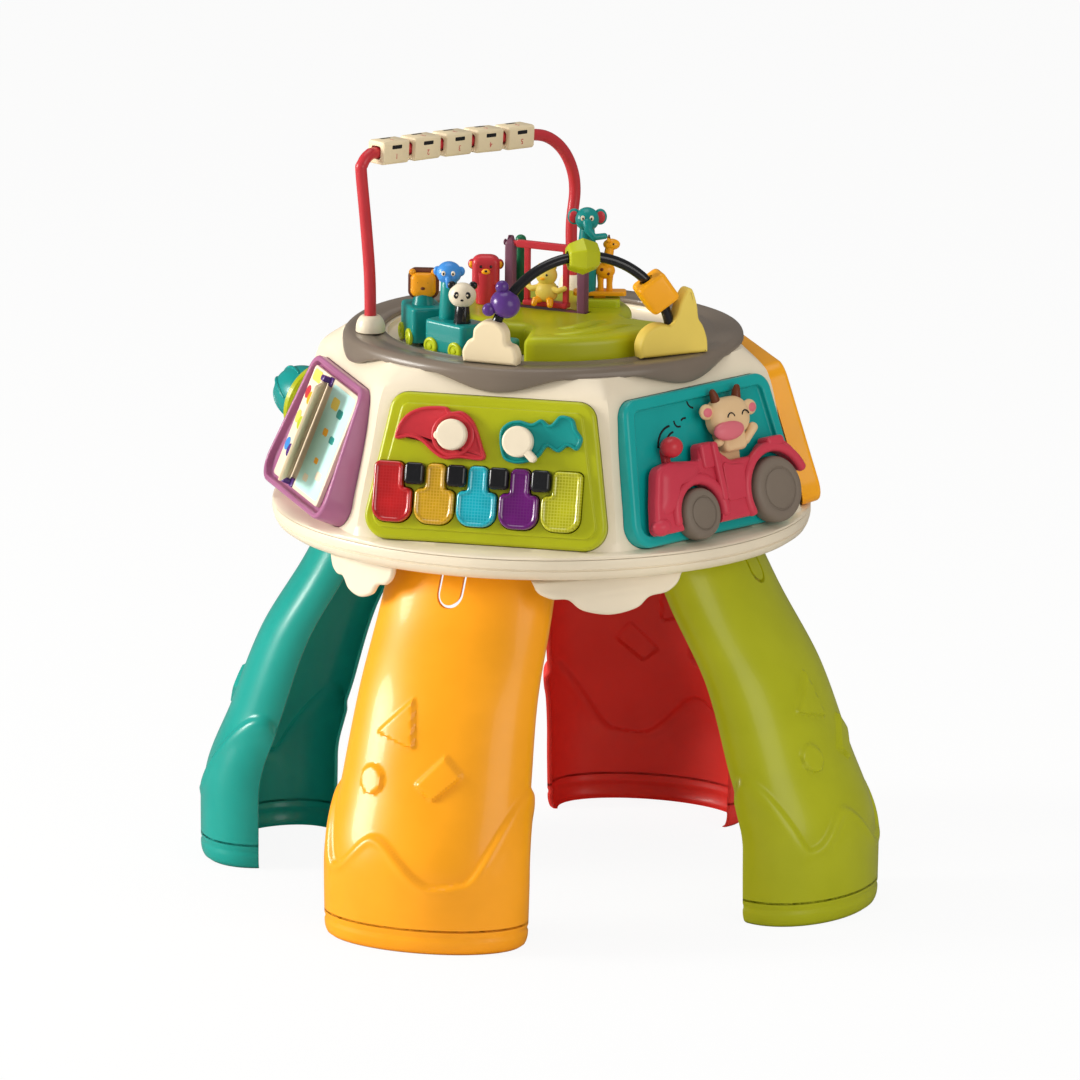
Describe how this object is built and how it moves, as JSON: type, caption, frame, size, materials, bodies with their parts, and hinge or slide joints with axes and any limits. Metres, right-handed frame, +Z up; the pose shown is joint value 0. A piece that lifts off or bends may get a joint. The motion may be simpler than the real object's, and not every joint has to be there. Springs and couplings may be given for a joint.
{
  "type": "activity table",
  "caption": "Toddler activity table on splayed half-shell legs, with toy panels round a six-sided top and a tray with carry handle, bead arch, train, swing and seesaw.",
  "frame": {"origin": "floor level under the middle of the table, the centre of the bounding box's base", "axes": "+Z up, -Y towards the side with the piano keys, +X to the right seen from that side"},
  "size_m": [0.4796, 0.4796, 0.5146],
  "materials": {
    "white": "satin moulded",
    "grey": "satin moulded",
    "lime": "satin moulded",
    "amber": "satin moulded",
    "teal": "satin moulded",
    "crimson": "satin moulded",
    "red": "satin moulded",
    "mauve": "satin moulded",
    "violet": "gloss",
    "black": "gloss",
    "tyre_grey": "matte",
    "cream": "matte",
    "pale_yellow": "matte",
    "orange": "satin moulded",
    "pale_lime": "satin moulded",
    "board": "circuit board",
    "clear_red": "clear tinted gloss",
    "clear_amber": "clear tinted gloss",
    "clear_cyan": "clear tinted gloss",
    "clear_violet": "clear tinted gloss",
    "clear_lime": "clear tinted gloss"
  },
  "bodies": {
    "table": {"leg_yellow": "amber", "leg_green": "lime", "leg_red": "crimson", "leg_teal": "teal", "base_pan": "white", "battery_door": "white", "speaker": "black", "upper_shell": "white", "track_plate": "grey", "tray_ring": "grey", "hill": "lime", "piano_panel": "lime", "black_keys": "black", "sound_board": "board", "horn_plate": "red", "guitar_plate": "teal", "tractor_panel": "teal", "tractor_body": "crimson", "book_frame": "mauve", "book_spread": "white", "clock_panel": "orange", "clock_dial": "white", "gear_panel": "crimson", "spinner_panel": "pale_lime", "swing_frame": "mauve", "fox_figure": "red", "handle_tube": "crimson", "handle_cap_left": "white", "handle_cap_right": "white", "arch_tube": "black", "cloud_base": "cream", "mountain_base": "pale_yellow"},
    "key_red": {"key_red": "clear_red"},
    "key_amber": {"key_amber": "clear_amber"},
    "key_cyan": {"key_cyan": "clear_cyan"},
    "key_purple": {"key_purple": "clear_violet"},
    "key_lime": {"key_lime": "clear_lime"},
    "horn_knob": {"horn_knob": "white"},
    "guitar_knob": {"guitar_knob": "white"},
    "wheel_front": {"wheel_front": "tyre_grey"},
    "wheel_rear": {"wheel_rear": "tyre_grey"},
    "cow": {"cow": "cream"},
    "lever_ball": {"lever_ball": "red"},
    "book_leaf": {"book_leaf": "cream"},
    "hour_hand": {"hour_hand": "teal"},
    "minute_hand": {"minute_hand": "red"},
    "gear_large": {"gear_large": "amber"},
    "gear_small": {"gear_small": "teal"},
    "spinner_dome": {"spinner_dome": "teal"},
    "train": {"train": "teal"},
    "swing_seat": {"swing_seat": "red"},
    "seesaw": {"seesaw": "orange"},
    "number_block_1": {"number_block_1": "cream"},
    "number_block_2": {"number_block_2": "cream"},
    "number_block_3": {"number_block_3": "cream"},
    "number_block_4": {"number_block_4": "cream"},
    "number_block_5": {"number_block_5": "cream"},
    "bead_bear": {"bead_bear": "violet"},
    "bead_hex": {"bead_hex": "lime"},
    "bead_cube": {"bead_cube": "amber"}
  },
  "joints": [
    {"name": "key_red_press", "type": "hinge", "parent": "table", "child": "key_red", "pos_m": [-0.0639, -0.14794, 0.32057], "axis": [1, 0, 0], "range_deg": [0, 4], "stiffness_Nm_per_rad": 0.6, "springref_deg": -2.86},
    {"name": "key_amber_press", "type": "hinge", "parent": "table", "child": "key_amber", "pos_m": [-0.0347, -0.14794, 0.32057], "axis": [1, 0, 0], "range_deg": [0, 4], "stiffness_Nm_per_rad": 0.6, "springref_deg": -2.86},
    {"name": "key_cyan_press", "type": "hinge", "parent": "table", "child": "key_cyan", "pos_m": [-0.0055, -0.14794, 0.32057], "axis": [1, 0, 0], "range_deg": [0, 4], "stiffness_Nm_per_rad": 0.6, "springref_deg": -2.86},
    {"name": "key_purple_press", "type": "hinge", "parent": "table", "child": "key_purple", "pos_m": [0.0237, -0.14794, 0.32057], "axis": [1, 0, 0], "range_deg": [0, 4], "stiffness_Nm_per_rad": 0.6, "springref_deg": -2.86},
    {"name": "key_lime_press", "type": "hinge", "parent": "table", "child": "key_lime", "pos_m": [0.0529, -0.14794, 0.32057], "axis": [1, 0, 0], "range_deg": [0, 4], "stiffness_Nm_per_rad": 0.6, "springref_deg": -2.86},
    {"name": "horn_knob_turn", "type": "hinge", "parent": "table", "child": "horn_knob", "pos_m": [-0.025, -0.14818, 0.33823], "axis": [0, -0.9659, 0.2588], "range_deg": [-35, 35]},
    {"name": "guitar_knob_turn", "type": "hinge", "parent": "table", "child": "guitar_knob", "pos_m": [0.021, -0.14869, 0.3363], "axis": [0, -0.9659, 0.2588], "range_deg": [-35, 35]},
    {"name": "wheel_front_spin", "type": "hinge", "parent": "table", "child": "wheel_front", "pos_m": [0.12997, -0.10448, 0.28366], "axis": [0.8365, -0.483, 0.2588], "continuous": true},
    {"name": "wheel_rear_spin", "type": "hinge", "parent": "table", "child": "wheel_rear", "pos_m": [0.16685, -0.03802, 0.28849], "axis": [0.8365, -0.483, 0.2588], "continuous": true},
    {"name": "cow_rock", "type": "hinge", "parent": "table", "child": "cow", "pos_m": [0.14762, -0.06098, 0.30781], "axis": [0.8365, -0.483, 0.2588], "range_deg": [-8, 8]},
    {"name": "lever_rock", "type": "hinge", "parent": "table", "child": "lever_ball", "pos_m": [0.11739, -0.11281, 0.30877], "axis": [0.8365, -0.483, 0.2588], "range_deg": [-12, 12]},
    {"name": "leaf_turn", "type": "hinge", "parent": "table", "child": "book_leaf", "pos_m": [-0.14828, -0.06944, 0.31736], "axis": [0.3244, 0.1873, 0.9272], "range_deg": [-130, 24]},
    {"name": "hour_turn", "type": "hinge", "parent": "table", "child": "hour_hand", "pos_m": [0.14092, 0.08598, 0.31264], "axis": [0.8365, 0.483, 0.2588], "continuous": true},
    {"name": "minute_turn", "type": "hinge", "parent": "table", "child": "minute_hand", "pos_m": [0.14092, 0.08598, 0.31264], "axis": [0.8365, 0.483, 0.2588], "continuous": true},
    {"name": "gear_large_spin", "type": "hinge", "parent": "table", "child": "gear_large", "pos_m": [0.02, 0.15678, 0.3136], "axis": [0, 0.9659, 0.2588], "continuous": true},
    {"name": "gear_small_spin", "type": "hinge", "parent": "table", "child": "gear_small", "pos_m": [-0.0242, 0.15678, 0.3136], "axis": [0, 0.9659, 0.2588], "continuous": true},
    {"name": "spinner_spin", "type": "hinge", "parent": "table", "child": "spinner_dome", "pos_m": [-0.17947, 0.07822, 0.30405], "axis": [-0.8365, 0.483, 0.2588], "continuous": true},
    {"name": "train_run", "type": "hinge", "parent": "table", "child": "train", "pos_m": [0, 0, 0.376], "axis": [0, 0, 1], "range_deg": [-150, 0]},
    {"name": "swing_swing", "type": "hinge", "parent": "table", "child": "swing_seat", "pos_m": [0.0035, -0.006, 0.4403], "axis": [0.9816, -0.1908, 0], "range_deg": [-14, 14]},
    {"name": "seesaw_rock", "type": "hinge", "parent": "table", "child": "seesaw", "pos_m": [0.035, 0.017, 0.3989], "axis": [-0.2368, 0.9715, 0], "range_deg": [-6, 6]},
    {"name": "number_1_spin", "type": "hinge", "parent": "table", "child": "number_block_1", "pos_m": [-0.10044, -0.03473, 0.50601], "axis": [0.5169, 0.8545, -0.0514], "continuous": true},
    {"name": "number_2_spin", "type": "hinge", "parent": "table", "child": "number_block_2", "pos_m": [-0.08493, -0.00909, 0.50469], "axis": [0.5171, 0.8548, -0.0438], "continuous": true},
    {"name": "number_3_spin", "type": "hinge", "parent": "table", "child": "number_block_3", "pos_m": [-0.06942, 0.01655, 0.5032], "axis": [0.5168, 0.8543, -0.056], "continuous": true},
    {"name": "number_4_spin", "type": "hinge", "parent": "table", "child": "number_block_4", "pos_m": [-0.05393, 0.04217, 0.50133], "axis": [0.5164, 0.8536, -0.0683], "continuous": true},
    {"name": "number_5_spin", "type": "hinge", "parent": "table", "child": "number_block_5", "pos_m": [-0.03844, 0.06778, 0.49929], "axis": [0.5169, 0.8545, -0.0514], "continuous": true},
    {"name": "bear_slide", "type": "hinge", "parent": "table", "child": "bead_bear", "pos_m": [0.04862, -0.08954, 0.391], "axis": [-0.4772, 0.8788, 0], "range_deg": [0, 26]},
    {"name": "hex_slide", "type": "hinge", "parent": "table", "child": "bead_hex", "pos_m": [0.04862, -0.08954, 0.391], "axis": [-0.4772, 0.8788, 0], "range_deg": [-12, 12]},
    {"name": "cube_slide", "type": "hinge", "parent": "table", "child": "bead_cube", "pos_m": [0.04862, -0.08954, 0.391], "axis": [-0.4772, 0.8788, 0], "range_deg": [-22, 0]}
  ],
  "couplings": [
    {"joint": "lever_rock", "follows": "cow_rock", "ratio": -1.5},
    {"joint": "gear_small_spin", "follows": "gear_large_spin", "ratio": -1.6}
  ]
}
